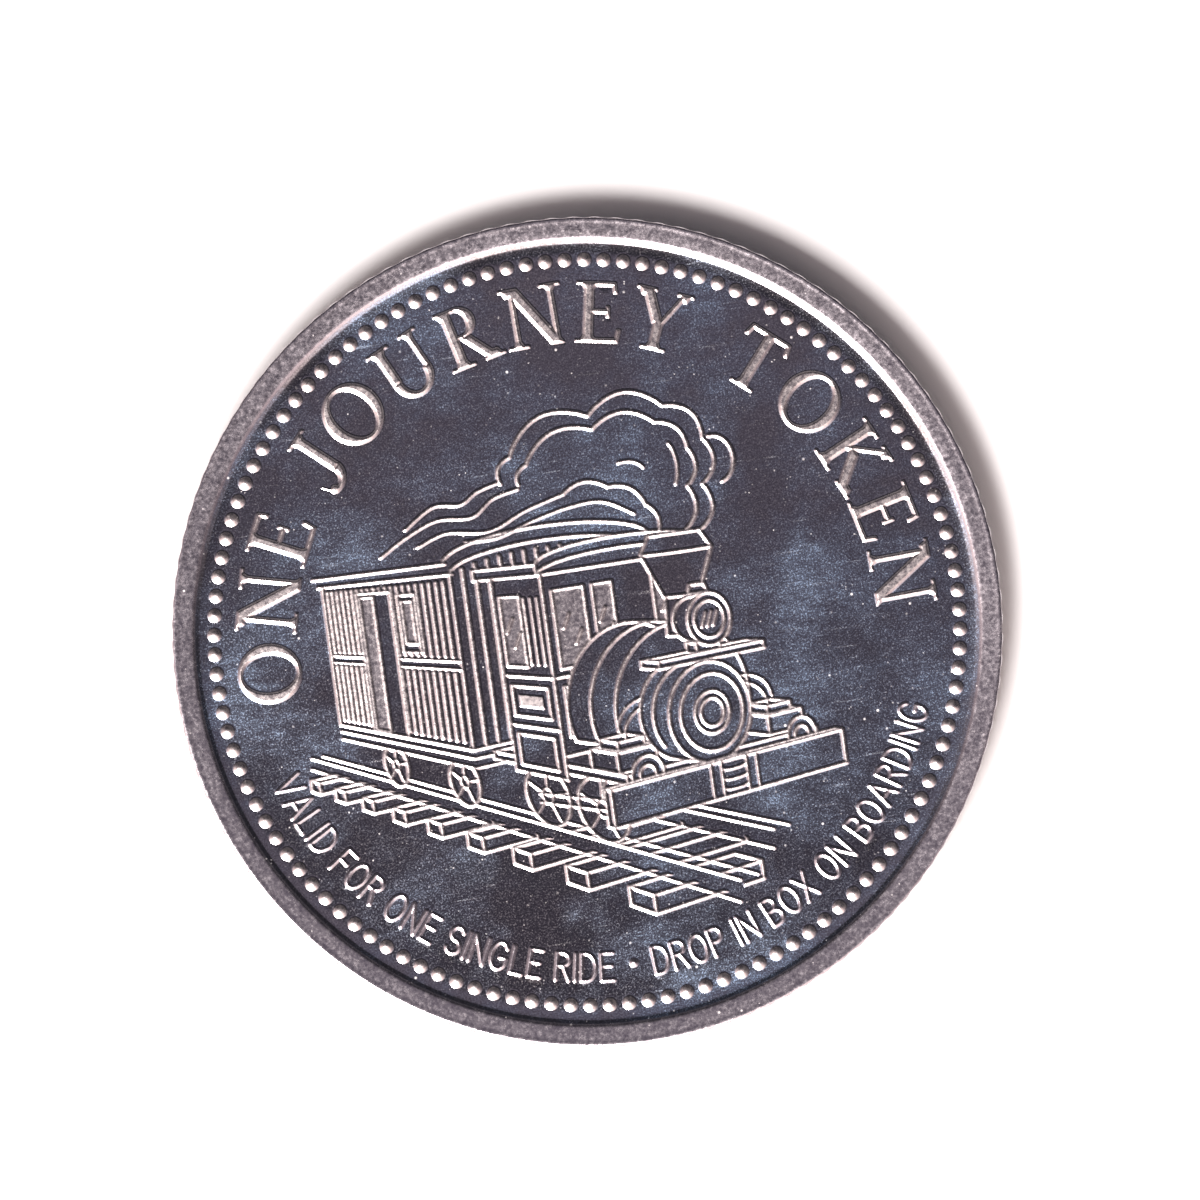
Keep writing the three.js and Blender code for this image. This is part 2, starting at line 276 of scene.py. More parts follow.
# The width of each letter and the shapes that it is made of.
SERIF_LETTERS = {
    "E": (0.78, [
        stem(0.24), serif(0.24), serif(0.24, base=1), box(0.2, 0, 0.72, HAIR), box(0.2, 1 - HAIR, 0.68, 1),
        box(0.2, 0.47, 0.56, 0.47 + HAIR), slant(0.69, 0.74, 0.08, 0, 0.24), slant(0.67, 0.64, 0.08, 0.8, 1),
        box(0.52, 0.41, 0.59, 0.61)]),
    "J": (0.5, [
        stem(0.285, low=0.18), serif(0.285, base=1), bowl(0.05, 0.2, 0.325, 0.29, 0.17, 0.09, hook_end),
        lambda x, y: 0.075 - np.hypot(x + 0.03, y)]),
    "K": (0.95, [
        stem(0.24), serif(0.24), serif(0.24, base=1), slant(0.26, 0.76, 0.12, 0.42),
        slant(0.82, 0.4, 0.22, 0, 0.56), serif(0.74, 0.1, 1, 0.1), serif(0.82, 0.19, 0, 0.09)]),
    "N": (1.0, [
        stem(0.2, 0.1), stem(0.84, 0.1), slant(0.84, 0.19, 0.23), serif(0.2, 0.1),
        serif(0.14, 0.12, 1, 0.09), serif(0.84, 0.1, 1)]),
    "O": (1.0, [bowl(0.5, 0.5, 0.49, 0.52, 0.19, 0.085)]),
    "R": (0.92, [
        stem(0.24), serif(0.24), serif(0.22, base=1, reach=0.08),
        bowl(0.4, 0.735, 0.29, 0.265, 0.165, 0.075, lambda x, y: x - 0.39), box(0.2, 0.925, 0.42, 1),
        box(0.2, 0.47, 0.42, 0.545), slant(0.78, 0.42, 0.2, 0, 0.5), serif(0.79, 0.16, 0, 0.1)]),
    "T": (0.86, [
        stem(0.43), serif(0.43), box(0.07, 1 - HAIR, 0.79, 1), slant(0.06, 0.11, 0.08, 0.78),
        slant(0.8, 0.75, 0.08, 0.78)]),
    "U": (0.96, [
        stem(0.215, low=0.34), stem(0.79, 0.11, 0.34), serif(0.215, base=1), serif(0.79, 0.11, 1, 0.11),
        bowl(0.49, 0.36, 0.36, 0.38, 0.15, 0.1, lambda x, y: 0.37 - y)]),
    "Y": (0.92, [
        stem(0.45, high=0.5), slant(0.45, 0.16, 0.2, 0.42), slant(0.48, 0.8, 0.1, 0.42), serif(0.45),
        serif(0.16, base=1, reach=0.09), serif(0.8, 0.09, 1, 0.1)]),
}

# ---- narrow plain capitals for the small legend: strokes in units of the letter height ----
PLAIN_LETTERS = {
    "A": (0.6, [[(0, 0), (0.3, 1), (0.6, 0)], [(0.12, 0.33), (0.48, 0.33)]]),
    "B": (0.5, [[(0, 0), (0, 1), (0.2, 1)] + arc(0.2, 0.77, 0.23, 0.23, 90, -90) + [(0, 0.54)],
                [(0.2, 0.54)] + arc(0.22, 0.27, 0.27, 0.27, 90, -90) + [(0, 0)]]),
    "D": (0.52, [[(0, 0), (0, 1), (0.16, 1)] + arc(0.16, 0.5, 0.36, 0.5, 90, -90, 16) + [(0, 0)]]),
    "E": (0.45, [[(0.45, 1), (0, 1), (0, 0), (0.45, 0)], [(0, 0.53), (0.38, 0.53)]]),
    "F": (0.44, [[(0.44, 1), (0, 1), (0, 0)], [(0, 0.52), (0.36, 0.52)]]),
    "G": (0.58, [arc(0.3, 0.5, 0.3, 0.5, 38, 322, 20) + [(0.57, 0.44), (0.34, 0.44)]]),
    "I": (0.0, [[(0, 0), (0, 1)]]),
    "L": (0.42, [[(0, 1), (0, 0), (0.42, 0)]]),
    "N": (0.52, [[(0, 0), (0, 1), (0.52, 0), (0.52, 1)]]),
    "O": (0.58, [arc(0.29, 0.5, 0.29, 0.5, 0, 360, 24)]),
    "P": (0.46, [[(0, 0), (0, 1), (0.2, 1)] + arc(0.2, 0.75, 0.25, 0.25, 90, -90) + [(0, 0.5)]]),
    "R": (0.48, [[(0, 0), (0, 1), (0.2, 1)] + arc(0.2, 0.76, 0.25, 0.24, 90, -90) + [(0, 0.52)],
                 [(0.24, 0.52), (0.48, 0)]]),
    "S": (0.48, [arc(0.24, 0.755, 0.23, 0.245, 25, 270, 14) + arc(0.24, 0.255, 0.24, 0.255, 90, -160, 14)]),
    "V": (0.58, [[(0, 1), (0.29, 0), (0.58, 1)]]),
    "X": (0.52, [[(0, 0), (0.52, 1)], [(0, 1), (0.52, 0)]]),
}


class Spot:
    """Where a letter stands on a ring: its foot, its reading direction and its up direction."""

    def __init__(self, degrees, radius, outward):
        angle = math.radians(degrees)
        side = 1 if outward else -1
        self.along = (side * math.cos(angle), -side * math.sin(angle))
        self.up = (side * math.sin(angle), side * math.cos(angle))
        self.foot = (radius * math.sin(angle), radius * math.cos(angle))

    def place(self, x, y):
        return tuple(foot + x * along + y * up for foot, along, up in zip(self.foot, self.along, self.up))

    def local(self, x, y):
        u, v = x - self.foot[0], y - self.foot[1]
        return u * self.along[0] + v * self.along[1], u * self.up[0] + v * self.up[1]


def spread(text, alphabet, gap, word_gap, start, end):
    """The angle of each letter's middle, for a text that fills the ring from start to end."""
    advances = [word_gap if letter == " " else alphabet[letter][0] + gap for letter in text]
    total = sum(advances)
    travelled, spots = 0.0, []
    for letter, advance in zip(text, advances):
        if letter != " ":
            spots.append((letter, start + (end - start) * (travelled + advance / 2) / total))
        travelled += advance
    return spots


LARGE_HEIGHT = 2.45
LARGE_BASE = 11.48
LARGE_RELIEF = 0.075
LARGE_WALL = 0.085
SMALL_HEIGHT = 1.08
SMALL_BASE = 13.84
SMALL_STROKE = 0.165
SMALL_RELIEF = 0.046


def strike_large_legend(die, text, start, end):
    for letter, degrees in spread(text, SERIF_LETTERS, 0.1, 0.62, start, end):
        width, shapes = SERIF_LETTERS[letter]
        spot = Spot(degrees, LARGE_BASE, True)
        corners = [spot.place(x * LARGE_HEIGHT, y * LARGE_HEIGHT) for x in (-0.6, 0.6) for y in (-0.15, 1.1)]
        area, x, y = die.window(corners, 0.1)
        x, y = (local / LARGE_HEIGHT for local in spot.local(x, y))
        depth = np.maximum.reduce([shape(x + width / 2, y) for shape in shapes]) * LARGE_HEIGHT
        die.pad(depth, area, LARGE_RELIEF, LARGE_WALL, LINE_FROST)


def strike_small_legend(die, text, start, end):
    for letter, degrees in spread(text, PLAIN_LETTERS, 0.24, 0.36, start, end):
        width, strokes = PLAIN_LETTERS[letter]
        spot = Spot(degrees, SMALL_BASE, False)
        for stroke in strokes:
            points = [spot.place((x - width / 2) * SMALL_HEIGHT, y * SMALL_HEIGHT) for x, y in stroke]
            die.ridge(points, SMALL_STROKE, SMALL_RELIEF, 0.8)


# ---- rim and beads, the same on both faces ----
def strike_rim(die):
    """A shallow hollow rises to a steep wall, and the rim's top leans a little towards the middle."""
    radius = np.hypot(die.axis[None, :], die.axis[:, None])
    hollow = np.clip((radius - RIM_FOOT) / (RIM_INNER - RIM_FOOT), 0, 1)
    wall = np.clip((radius - RIM_INNER + RIM_WALL) / RIM_WALL, 0, 1)
    lean = np.clip((radius - RIM_INNER) / (RIM_CREST - RIM_INNER), 0, 1)
    lip = np.clip((radius - LIP_START) / LIP_WIDTH, 0, 1)
    rim = (HOLLOW_RISE * hollow**1.5 + (FIELD_DEPTH - RIM_DISH - HOLLOW_RISE) * wall**1.5
           + (RIM_DISH - LIP_HEIGHT) * lean * (2 - lean) + LIP_HEIGHT * lip)
    die.height = np.maximum(die.height, rim.astype(np.float32))
    die.frost = np.where(radius > RIM_INNER - 0.08, RIM_FROST, die.frost).astype(np.float32)


def strike_beads(die):
    for index in range(BEAD_COUNT):
        angle = 2 * math.pi * (index + 0.5) / BEAD_COUNT
        middle = (BEAD_RING * math.cos(angle), BEAD_RING * math.sin(angle))
        area, x, y = die.window([middle], BEAD_RADIUS)
        gap = np.hypot(x - middle[0], y - middle[1]) / BEAD_RADIUS
        die.raise_to(area, BEAD_HEIGHT * (1 - gap**2), BEAD_FROST)


# ---- the picture: a small steam train seen from its front corner ----
# The train is laid out in metres: back along it, across it from its near side, and up from the rail tops.
PICTURE_DISTANCE = 48.5
HORIZON_Y = 3.8
EYE_HEIGHT = 2.24
NEARNESS = 8.12
TURN = math.radians(30)
WHEEL_STRETCH = 1.5


def at(back, across, up):
    """Where a point of the train falls on the face of the token, in millimetres."""
    right = across * math.cos(TURN) - back * math.sin(TURN)
    depth = NEARNESS + across * math.sin(TURN) + back * math.cos(TURN)
    return PICTURE_DISTANCE * right / depth, HORIZON_Y + PICTURE_DISTANCE * (up - EYE_HEIGHT) / depth


def hull(points):
    """The outline round a set of points."""
    points = sorted(set(points))
    halves = []
    for ordered in (points, points[::-1]):
        half = []
        for p in ordered:
            while len(half) > 1 and turning(half[-2], half[-1], p) <= 0:
                half.pop()
            half.append(p)
        halves.append(half[:-1])
    return halves[0] + halves[1]


def turning(a, b, c):
    return (b[0] - a[0]) * (c[1] - a[1]) - (b[1] - a[1]) * (c[0] - a[0])


def front_circle(back, across, up, radius, start=0, end=360):
    return [(back, a, u) for a, u in arc(across, up, radius, radius, start, end, 28)]


def side_circle(back, across, up, radius):
    """A wheel's circle, drawn rounder than true perspective so that it reads at this size."""
    return [(b, across, u) for b, u in arc(back, up, radius * WHEEL_STRETCH, radius, 0, 360, 28)]


def level_circle(back, across, up, radius):
    return [(b, a, up) for b, a in arc(back, across, radius, radius, 0, 360, 28)]


class Picture:
    """Draws faces from far to near: each one hides what is behind it and is outlined by a ridge."""

    def __init__(self, die):
        self.die = die

    def line(self, *points, width=LINE_WIDTH, height=LINE_HEIGHT):
        self.die.ridge([at(*p) for p in points], width, height)

    def face(self, *points, frost=0.0, level=0.0, outline=True):
        flat = [at(*p) for p in points]
        self.die.clear(flat, level, frost)
        if outline:
            self.die.ridge(flat, closed=True)
        return flat

    def wipe(self, points):
        self.die.clear([at(*p) for p in points])

    def side(self, across, back, up, **looks):
        """A wall along the train, with its extents in back and up."""
        return self.face(*[(b, across, u) for b, u in corners_of(back, up)], **looks)

    def front(self, back, across, up, **looks):
        return self.face(*[(back, a, u) for a, u in corners_of(across, up)], **looks)

    def block(self, back, across, up, **looks):
        """A box of which the top, the near side and the front show."""
        self.face(*[(b, a, up[1]) for b, a in corners_of(back, across)], **looks)
        self.side(across[0], back, up, **looks)
        self.front(back[0], across, up, **looks)

    def drum(self, far_circle, near_circle, rings=()):
        """A round body between two circles, with more circles on its near end."""
        flat = hull([at(*p) for p in far_circle + near_circle])
        self.die.clear(flat)
        self.die.ridge(flat, closed=True)
        for circle in (near_circle, *rings):
            self.line(*circle)

    def wheel(self, back, across, radius, spokes):
        rim = side_circle(back, across, radius, radius)
        self.wipe(rim)
        self.line(*rim, width=0.21)
        self.line(*side_circle(back, across, radius, radius * 0.24), width=THIN_LINE)
        for spoke in range(spokes):
            angle = 2 * math.pi * (spoke + 0.3) / spokes
            reach = (math.cos(angle) * radius * WHEEL_STRETCH, math.sin(angle) * radius)
            self.line((back + 0.25 * reach[0], across, radius + 0.25 * reach[1]),
                      (back + 0.9 * reach[0], across, radius + 0.9 * reach[1]), width=0.15)

    def window(self, wall, place, extent, up, glints=2):
        """A frosted pane with slanting glints, in a side or a front wall."""
        flat = wall(place, extent, up, frost=PANE_FROST, level=PANE_RELIEF)
        low, high = np.min(flat, 0), np.max(flat, 0)
        for index in range(glints):
            share = (index + 1) / (glints + 1)
            x = low[0] + share * (high[0] - low[0])
            y = low[1] + (1 - share * 0.8) * (high[1] - low[1]) * 0.8
            self.die.ridge([(x - 0.13, y - 0.28), (x + 0.15, y + 0.28)], 0.17, 0.05)


def draw_track(picture):
    near_rail, far_rail = 0.42, 1.3
    for index in range(8, -1, -1):
        back = -0.35 + 0.85 * index
        reach = {0: 0.9, 1: 1.42, 2: 1.42}.get(index, near_rail + 0.1)
        picture.block((back, back + 0.3), (0.02, reach), (-0.22, -0.1))
    for across, ends in ((far_rail, (-0.1, 1.4)), (near_rail, (-0.85, 7.7))):
        picture.side(across - 0.05, ends, (-0.11, 0.0), outline=False)
        for offset, up in ((-0.07, 0.0), (0.07, 0.0), (-0.09, -0.13)):
            picture.line((ends[0], across + offset, up), (ends[1], across + offset, up), width=0.16)


def draw_carriage(picture):
    front, back = 2.2, 5.5
    near, far = 0.05, 1.95
    floor, belt, eave = 0.62, 1.32, 2.08
    board_pitch, board_width = 0.15, 0.22
    for wheel_back in (4.7, 3.05):
        picture.wheel(wheel_back, 0.3, 0.21, 5)
    picture.side(near, (front, back), (floor - 0.16, floor), outline=False)
    # The end wall with its arched top, mostly behind the cab.
    crown = [(front, a, u) for a, u in arc(1.0, eave, 0.95, 0.18, 0, 180, 18)]
    picture.face((front, far, floor), *crown, (front, near, floor))
    boards = int((far - near) / 0.118)
    for index in range(1, boards):
        across = near + (far - near) * index / boards
        top = eave + 0.16 * math.sqrt(max(0, 1 - ((across - 1) / 0.95) ** 2)) - 0.05
        picture.line((front, across, floor), (front, across, top), width=board_width)
    outer = [(front - 0.04, a, u) for a, u in arc(1.0, eave + 0.09, 1.02, 0.21, 0, 180, 18)]
    picture.line(*outer)
    # The boarded side.
    picture.side(near, (front, back), (floor, eave))
    count = int((back - front) / board_pitch)
    for index in range(1, count):
        along = front + (back - front) * index / count
        picture.line((along, near, floor + 0.06), (along, near, belt - 0.07), width=board_width)
        picture.line((along, near, belt + 0.07), (along, near, eave - 0.06), width=board_width)
    for up in (belt - 0.035, belt + 0.035):
        picture.line((front, near, up), (back, near, up), width=THIN_LINE)
    # Door, window, sills and eaves.
    picture.side(near, (3.6, 4.5), (floor, 1.98))
    picture.window(picture.side, near, (4.05, 4.42), (floor + 0.02, 1.94), glints=0)
    picture.side(near, (3.02, 3.42), (1.42, 1.94))
    picture.window(picture.side, near, (3.1, 3.34), (1.5, 1.88), glints=0)
    for up in (floor, floor - 0.07, floor - 0.15):
        picture.line((front, near, up), (back, near, up), width=0.17)
        picture.line((front, near, up), (front, far, up), width=0.17)
    for across, up in ((0.0, eave + 0.09), (near, eave)):
        picture.line((front - 0.04, across, up), (back + 0.12, across, up))


def draw_engine(picture):
    middle = 1.0
    near, far = 0.32, 1.68
    cab_front, cab_back, cab_top = 1.15, 2.0, 2.0
    deck = 0.6
    for wheel_back in (1.6, 0.75):
        picture.wheel(wheel_back, 0.36, 0.24, 5)
    for up in (0.2, 0.27):
        picture.line((1.6, 0.3, up), (0.3, 0.3, up + 0.08), width=THIN_LINE)
    picture.drum(front_circle(0.55, 0.36, 0.4, 0.1), front_circle(0.2, 0.36, 0.4, 0.11),
                 [front_circle(0.2, 0.36, 0.4, 0.05)])
    picture.block((0.02, 2.05), (0.16, 1.84), (deck - 0.06, deck))

    # Cab: side with a window and a blank plate, front with two windows, and an arched roof.
    picture.side(near, (cab_front, cab_back), (0.42, cab_top))
    picture.window(picture.side, near, (cab_front + 0.4, cab_back - 0.1), (1.28, 1.84))
    for index in range(3):
        along = cab_front + 0.1 + 0.11 * index
        picture.line((along, near, 1.3), (along, near, 1.82), width=THIN_LINE)
    picture.line((cab_front, near, 1.2), (cab_back, near, 1.2))
    picture.side(near, (cab_front + 0.12, cab_back - 0.12), (0.88, 1.12))
    picture.side(near, (cab_front + 0.22, cab_back - 0.22), (0.95, 1.05), frost=0.94, level=0.03,
                 outline=False)
    picture.line((cab_front, near, 0.8), (cab_back, near, 0.8))
    picture.side(near, (cab_front + 0.12, cab_back - 0.12), (0.48, 0.73))
    picture.front(cab_front, (near, far), (deck, cab_top))
    for pane in ((near + 0.08, near + 0.36), (near + 0.44, near + 0.62), (far - 0.36, far - 0.08)):
        picture.window(picture.front, cab_front, pane, (1.26, 1.86))
    picture.line((cab_front, near, 1.2), (cab_front, middle - 0.5, 1.2))
    picture.window(picture.front, cab_front, (near + 0.08, near + 0.3), (0.74, 1.12), glints=1)
    eaves = (cab_front - 0.13, cab_back + 0.12)
    wide = (near - 0.1, far + 0.1)
    picture.side(wide[0], eaves, (cab_top, cab_top + 0.08))
    span = (wide[1] - wide[0]) / 2
    arch = [(eaves[0], a, u) for a, u in arc(middle, cab_top + 0.08, span, 0.13, 180, 0, 14)]
    picture.face((eaves[0], wide[0], cab_top), *arch, (eaves[0], wide[1], cab_top))
    picture.line(*[(eaves[0], a, u) for a, u in arc(middle, cab_top, span, 0.12, 180, 0, 14)])

    # Tank over the boiler, with a band, and pipes down to the valve chests.
    tank_up, tank_radius = 0.92, 0.6
    shells = [front_circle(back, middle, tank_up, tank_radius, 202, -22) for back in (0.45, 0.8, cab_front)]
    picture.drum(shells[2], shells[0], shells[1:])
    picture.wipe(shells[0])
    picture.line(*shells[0])
    picture.line((cab_front, middle - 0.56, 0.7), (0.45, middle - 0.56, 0.7))
    for side in (-1, 1):
        chest = (middle + side * 0.66 - 0.16, middle + side * 0.66 + 0.16)
        picture.block((0.14, 0.5), chest, (deck, deck + 0.14))
        picture.block((0.2, 0.44), (chest[0] + 0.05, chest[1] - 0.05), (deck + 0.14, deck + 0.2))
        pipe = [(0.3, middle + side * a, u) for a, u in arc(0.38, 0.8, 0.26, 0.2, 90, 0, 8)]
        for shift in (0.0, 0.05):
            picture.line(*[(b, a + side * shift, u + shift) for b, a, u in pipe], width=THIN_LINE)

    # Smokebox with its door.
    boiler_up, boiler_radius = 0.87, 0.36
    circles = [front_circle(0.12, middle, boiler_up, r) for r in (0.275, 0.15, 0.1)]
    picture.drum(front_circle(0.5, middle, boiler_up, boiler_radius + 0.01),
                 front_circle(0.14, middle, boiler_up, boiler_radius), circles)
    picture.line(*front_circle(0.34, middle, boiler_up, boiler_radius, 215, 95))

    # Chimney: a straight pipe, a wide spark catcher and its lid.
    stack = 0.3
    for low, high, foot, head in (
            (1.44, 1.72, 0.14, 0.12), (1.72, 2.04, 0.13, 0.26), (2.04, 2.17, 0.26, 0.19)):
        picture.drum(level_circle(stack, middle, low, foot), level_circle(stack, middle, high, head))

    # Lamp shelf and lamp.
    picture.block((0.02, 0.24), (middle - 0.46, middle + 0.46), (1.26, 1.31))
    picture.block((0.06, 0.18), (middle - 0.1, middle + 0.1), (1.31, 1.38))
    lamp_up = 1.54
    picture.drum(front_circle(0.22, middle, lamp_up, 0.16), front_circle(0.0, middle, lamp_up, 0.185),
                 [front_circle(0.0, middle, lamp_up, 0.13)])
    for shift in (-0.05, 0.0, 0.05):
        picture.line((0.0, middle + shift - 0.025, lamp_up - 0.05),
                     (0.0, middle + shift + 0.025, lamp_up + 0.05), width=0.17)
    picture.drum(level_circle(0.1, middle, 1.73, 0.07), level_circle(0.1, middle, 1.79, 0.05))

    # Buffers that stand behind the beam, then the beam with its coupling.
    for across in (0.32, 1.68):
        picture.wipe(front_circle(0.0, across, 0.58, 0.13))
        for radius in (0.13, 0.065):
            picture.line(*front_circle(0.0, across, 0.58, radius))
    picture.block((-0.05, 0.03), (-0.02, 2.02), (0.3, 0.55))
    plate = (middle - 0.2, middle + 0.2)
    for across in (plate[0], plate[0] + 0.09, plate[1] - 0.09, plate[1]):
        picture.line((-0.05, across, 0.31), (-0.05, across, 0.54), width=THIN_LINE)
    for up in (0.36, 0.43, 0.5):
        picture.line(*[(-0.05, a, u) for a, u in arc(middle, up, 0.11, 0.02, 180, 360, 6)], width=0.15)


def lobes(points, bulge):
    """Round puffs between cusps: each pair of points is joined by an arc that stands off to its right."""
    outline = []
    for (x1, y1), (x2, y2) in zip(points, points[1:]):
        length = math.hypot(x2 - x1, y2 - y1)
        away = ((y2 - y1) / length, -(x2 - x1) / length)
        for step in range(13):
            t = step / 12
            lift = bulge * length * math.sin(math.pi * t) ** 0.85
            outline.append((x1 + (x2 - x1) * t + away[0] * lift, y1 + (y2 - y1) * t + away[1] * lift))
    return outline


def smooth_path(points, steps=10):
    """A smooth curve through its points."""
    p = np.array([points[0], *points, points[-1]], float)
    path = []
    for a, b, c, d in zip(p, p[1:], p[2:], p[3:]):
        for t in np.linspace(0, 1, steps, endpoint=False):
            path.append(tuple(0.5 * (2 * b + (c - a) * t + (2 * a - 5 * b + 4 * c - d) * t**2
                                     + (3 * b - a - 3 * c + d) * t**3)))
    return path + [tuple(p[-1])]


def draw_smoke(die):
    """A double-edged plume from the chimney back over the train, and a thinner ribbon below it."""
    for cusps, bulge in (
            ([(5.0, 3.4), (5.35, 5.2), (5.6, 7.0), (4.2, 8.5), (1.2, 8.5), (-2.1, 7.3), (-2.6, 6.3)], 0.25),
            ([(4.45, 3.5), (4.75, 5.2), (4.95, 6.7), (3.8, 7.9),
              (1.3, 7.95), (-1.5, 6.9), (-1.9, 6.15)], 0.22),
            ([(3.35, 3.5), (3.0, 4.7), (1.6, 5.6), (-0.2, 5.55)], 0.2)):
        die.ridge(lobes(cusps, bulge))
    for path in (
            [(-2.75, 6.35), (-3.6, 6.1), (-4.3, 5.7), (-5.4, 5.75), (-6.6, 5.0)],
            [(-1.95, 6.0), (-3.0, 5.75), (-3.9, 5.15), (-5.3, 5.2), (-6.6, 4.7), (-7.7, 4.05)],
            [(-0.2, 5.55), (-1.8, 5.1), (-3.3, 4.5), (-5.0, 4.65), (-6.2, 4.25)],
            [(2.5, 4.4), (1.3, 5.05), (-0.1, 5.0), (-1.6, 4.65), (-3.0, 4.2), (-4.3, 4.2)]):
        die.ridge(smooth_path(path), 0.17)
    die.ridge(arc(2.4, 6.0, 0.75, 0.5, 110, 20, 8), THIN_LINE)
    die.ridge(arc(4.0, 6.1, 0.45, 1.0, 60, -50, 8), THIN_LINE)
    die.ridge(arc(5.95, 6.1, 0.75, 0.95, 100, -75, 12))


# ---- the two faces ----
def front_die():
    die = Die()
    draw_smoke(die)
    picture = Picture(die)
    draw_track(picture)
    draw_carriage(picture)
    draw_engine(picture)
    strike_large_legend(die, "ONE JOURNEY TOKEN", -96, 94)
    strike_small_legend(die, "VALID FOR ONE SINGLE RIDE", 252.5, 183.0)
    strike_small_legend(die, "DROP IN BOX ON BOARDING", 177.0, 110.0)
    die.ridge([(0.0, -13.25), (0.01, -13.25)], 0.36, 0.07, 0.8)
    strike_beads(die)
    strike_rim(die)
    die.soften(0.9)
    return die


WHEEL_RADIUS = 7.6
WHEEL_RIM_WIDTH = 1.1
HUB_RADIUS = 1.9
SPOKES = 8
LEAF_PAIRS = 11


def back_die():
    """A spoked wheel between two laurel sprays."""
    die = Die()
    x, y = die.axis[None, :], die.axis[:, None]
    everything = (slice(None), slice(None))
    radius = np.hypot(x, y)
    ring = np.minimum(WHEEL_RADIUS - radius, radius - (WHEEL_RADIUS - WHEEL_RIM_WIDTH))
    die.pad(ring, everything, 0.12, 0.16)
    for spoke in range(SPOKES):
        angle = 2 * math.pi * (spoke + 0.5) / SPOKES
        along, across = (math.cos(angle), math.sin(angle)), (-math.sin(angle), math.cos(angle))
        outlines = ((1.0, -0.5), (1.0, 0.5), (WHEEL_RADIUS - 0.8, 0.24), (WHEEL_RADIUS - 0.8, -0.24))
        corners = [tuple(a * reach + c * aside for a, c in zip(along, across)) for reach, aside in outlines]
        area, u, v = die.window(corners, 0.1)
        die.pad(convex_depth(u, v, corners), area, 0.1, 0.16)
    die.pad(HUB_RADIUS - radius, everything, 0.13, 0.18)
    die.ridge(arc(0, 0, 1.1, 1.1, 0, 360, 40), 0.3, 0.17, 0.8)
    for side in (-1, 1):
        stem = [(side * 10.3 * math.sin(a), -10.3 * math.cos(a)) for a in np.radians(np.linspace(8, 150, 40))]
        die.ridge(stem, 0.3, 0.08, 0.8)
        for index in range(LEAF_PAIRS):
            angle = math.radians(16 + 12.2 * index)
            foot = (side * 10.3 * math.sin(angle), -10.3 * math.cos(angle))
            for lean in (-1, 1):
                heading = angle + math.radians(lean * 34)
                tip_way = (side * math.cos(heading), math.sin(heading))
                strike_leaf(die, foot, tip_way, 2.1, 0.42)
    strike_beads(die)
    strike_rim(die)
    die.soften(0.9)
    return die


def strike_leaf(die, foot, way, length, half_width):
    """A pointed leaf with a vein, from two arcs."""
    middle = (foot[0] + way[0] * length * 0.56, foot[1] + way[1] * length * 0.56)
    area, x, y = die.window([middle], length * 0.6)
    u = (x - middle[0]) * way[0] + (y - middle[1]) * way[1]
    v = -(x - middle[0]) * way[1] + (y - middle[1]) * way[0]
    half_length = length / 2
    curve_radius = (half_length**2 + half_width**2) / (2 * half_width)
    offset = curve_radius - half_width
    depth = curve_radius - np.hypot(u, np.abs(v) + offset)
    vein = 0.05 * np.clip(1 - np.abs(v) / 0.1, 0, 1)
    leaf = 0.1 * np.clip(depth / 0.22, 0, 1) ** 0.8 - vein
    die.raise_to(area, leaf, 0.9)


# ---- one closed mesh from the two dies and the reeded edge ----
def square_to_disc(count):
    """Points of a square grid moved so that its border becomes the unit circle."""
    side = np.linspace(-1, 1, count + 1)
    a, b = np.meshgrid(side, side, indexing="ij")
    wide = np.abs(a) > np.abs(b)
    radius = np.where(wide, a, b)
    top = np.where(wide, b, a)
    share = np.divide(top, radius, out=np.zeros_like(radius), where=radius != 0)
    angle = np.where(wide, math.pi / 4 * share, math.pi / 2 - math.pi / 4 * share)
    return radius * np.cos(angle), radius * np.sin(angle)


def block_error(values, size):
    """How far each block of cells is from the flat patch through its four corners."""
    last = values.shape[0] - size

    def shifted(i, j):
        return values[i:last + i:size, j:last + j:size]

    corners = [shifted(i, j) for j in (0, size) for i in (0, size)]
    worst = np.zeros(corners[0].shape)
    for i in range(size + 1):
        for j in range(size + 1):
            s, t = i / size, j / size
            patch = ((1 - s) * (1 - t) * corners[0] + s * (1 - t) * corners[1]
                     + (1 - s) * t * corners[2] + s * t * corners[3])
            worst = np.maximum(worst, np.abs(shifted(i, j) - patch))
    return worst


def leaf_sizes(height, frost):
    """The size of the flat patch that each cell can be part of."""
    count = height.shape[0] - 1
    sizes = np.ones((count, count), int)
    mergeable = np.ones((count, count), bool)
    for size in LEAVES[1:]:
        flat = (block_error(height, size) < FLAT_TOLERANCE) & (block_error(frost, size) < FROST_TOLERANCE)
        flat &= mergeable.reshape(count // size, 2, count // size, 2).all(axis=(1, 3))
        flat[[0, -1]] = flat[:, [0, -1]] = size <= EDGE_LEAF
        sizes = np.where(np.kron(flat, np.ones((size, size), bool)), size, sizes)
        mergeable = flat
    return sizes


def square_ring(size):
    """The steps round a square of grid cells, from its first corner."""
    steps, none, full = np.arange(size), np.zeros(size, int), np.full(size, size)
    rows = np.concatenate([steps, full, size - steps, none])
    return rows, np.roll(rows, size)


